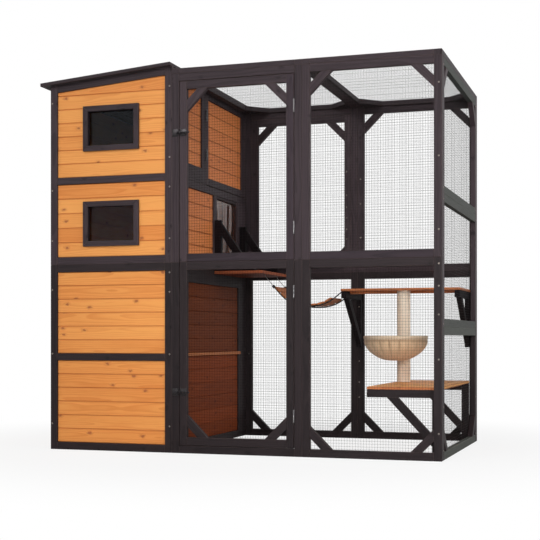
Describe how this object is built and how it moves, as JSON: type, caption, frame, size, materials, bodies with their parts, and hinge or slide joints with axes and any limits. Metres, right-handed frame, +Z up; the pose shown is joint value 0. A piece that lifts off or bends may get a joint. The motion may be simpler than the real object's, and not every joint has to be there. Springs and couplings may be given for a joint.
{
  "type": "outdoor cat enclosure",
  "caption": "Timber cat enclosure: a planked house with windows beside a tall mesh run with stacked doors, shelves, a slat bridge, a sisal post and a hanging bowl bed.",
  "frame": {"origin": "on the ground, below the middle of the overall box", "axes": "+X to the right along the front, +Y from the front to the back, +Z up"},
  "size_m": [1.948, 1.132, 1.828],
  "materials": {
    "dark_stain": "stained",
    "honey_planks": "oiled",
    "wire_mesh": "coated wire",
    "bright_steel": "zinc plated",
    "roof_felt": "matt",
    "clear_pane": "clear",
    "clear_strip": "clear",
    "curtain_rail": "stained",
    "sisal": "wound rope",
    "beige_cloth": "plush",
    "black_rope": "braided"
  },
  "bodies": {
    "enclosure": {"house_front_lower_frame": "dark_stain", "house_front_upper_frame": "dark_stain", "house_back_frames": "dark_stain", "house_left_frames": "dark_stain", "house_inner_lower_frame": "dark_stain", "house_inner_upper_frame": "dark_stain", "door_surround": "dark_stain", "front_lower_frame": "dark_stain", "front_upper_frame": "dark_stain", "back_lower_frames": "dark_stain", "back_upper_frames": "dark_stain", "side_bottom_frame": "dark_stain", "side_middle_frame": "dark_stain", "side_top_frame": "dark_stain", "run_roof_frames": "dark_stain", "window_frames": "dark_stain", "roof_trim": "dark_stain", "entrance_brackets": "dark_stain", "perch_brackets": "dark_stain", "low_brackets": "dark_stain", "house_front_planks": "honey_planks", "house_back_planks": "honey_planks", "house_left_planks": "honey_planks", "house_inner_planks": "honey_planks", "house_ledge": "honey_planks", "house_floors": "honey_planks", "entrance_shelf": "honey_planks", "perch_shelf": "honey_planks", "low_shelf": "honey_planks", "bridge_slats": "honey_planks", "front_lower_mesh": "wire_mesh", "front_upper_mesh": "wire_mesh", "back_meshes": "wire_mesh", "side_meshes": "wire_mesh", "run_roof_meshes": "wire_mesh", "hinge_fixed_leaves": "bright_steel", "bolt_keepers": "bright_steel", "bridge_hooks": "bright_steel", "bed_hoop": "bright_steel", "roof_deck": "roof_felt", "window_panes": "clear_pane", "curtain_rail": "curtain_rail", "sisal_post": "sisal", "bowl_bed": "beige_cloth", "bridge_near_rope": "black_rope", "bridge_far_rope": "black_rope"},
    "upper_door": {"upper_door_frame": "dark_stain", "upper_door_mesh": "wire_mesh", "upper_door_hardware": "bright_steel"},
    "lower_door": {"lower_door_frame": "dark_stain", "lower_door_mesh": "wire_mesh", "lower_door_hardware": "bright_steel"},
    "house_door": {"house_door_frame": "dark_stain", "house_door_planks": "honey_planks", "house_door_hinges": "bright_steel"},
    "upper_bolt": {"upper_bolt": "bright_steel"},
    "lower_bolt": {"lower_bolt": "bright_steel"},
    "curtain_strip_1": {"curtain_strip_1": "clear_strip"},
    "curtain_strip_2": {"curtain_strip_2": "clear_strip"},
    "curtain_strip_3": {"curtain_strip_3": "clear_strip"}
  },
  "joints": [
    {"name": "upper_door_hinge", "type": "hinge", "parent": "enclosure", "child": "upper_door", "pos_m": [0.3015, -0.544, 1.3155], "axis": [0, 0, 1], "range_deg": [0, 165]},
    {"name": "lower_door_hinge", "type": "hinge", "parent": "enclosure", "child": "lower_door", "pos_m": [0.3015, -0.544, 0.4655], "axis": [0, 0, 1], "range_deg": [0, 165]},
    {"name": "house_door_hinge", "type": "hinge", "parent": "enclosure", "child": "house_door", "pos_m": [-0.292, -0.0955, 1.5405], "axis": [0, 0, -1], "range_deg": [0, 110]},
    {"name": "upper_bolt_slide", "type": "slide", "parent": "upper_door", "child": "upper_bolt", "axis": [-1, 0, 0], "range_m": [0, 0.014]},
    {"name": "lower_bolt_slide", "type": "slide", "parent": "lower_door", "child": "lower_bolt", "axis": [-1, 0, 0], "range_m": [0, 0.014]},
    {"name": "curtain_strip_1_swing", "type": "hinge", "parent": "enclosure", "child": "curtain_strip_1", "pos_m": [-0.3085, 0.11483, 1.2591], "axis": [0, 1, 0], "range_deg": [-70, 70]},
    {"name": "curtain_strip_2_swing", "type": "hinge", "parent": "enclosure", "child": "curtain_strip_2", "pos_m": [-0.3085, 0.2225, 1.2591], "axis": [0, 1, 0], "range_deg": [-70, 70]},
    {"name": "curtain_strip_3_swing", "type": "hinge", "parent": "enclosure", "child": "curtain_strip_3", "pos_m": [-0.3085, 0.33017, 1.2591], "axis": [0, 1, 0], "range_deg": [-70, 70]}
  ]
}
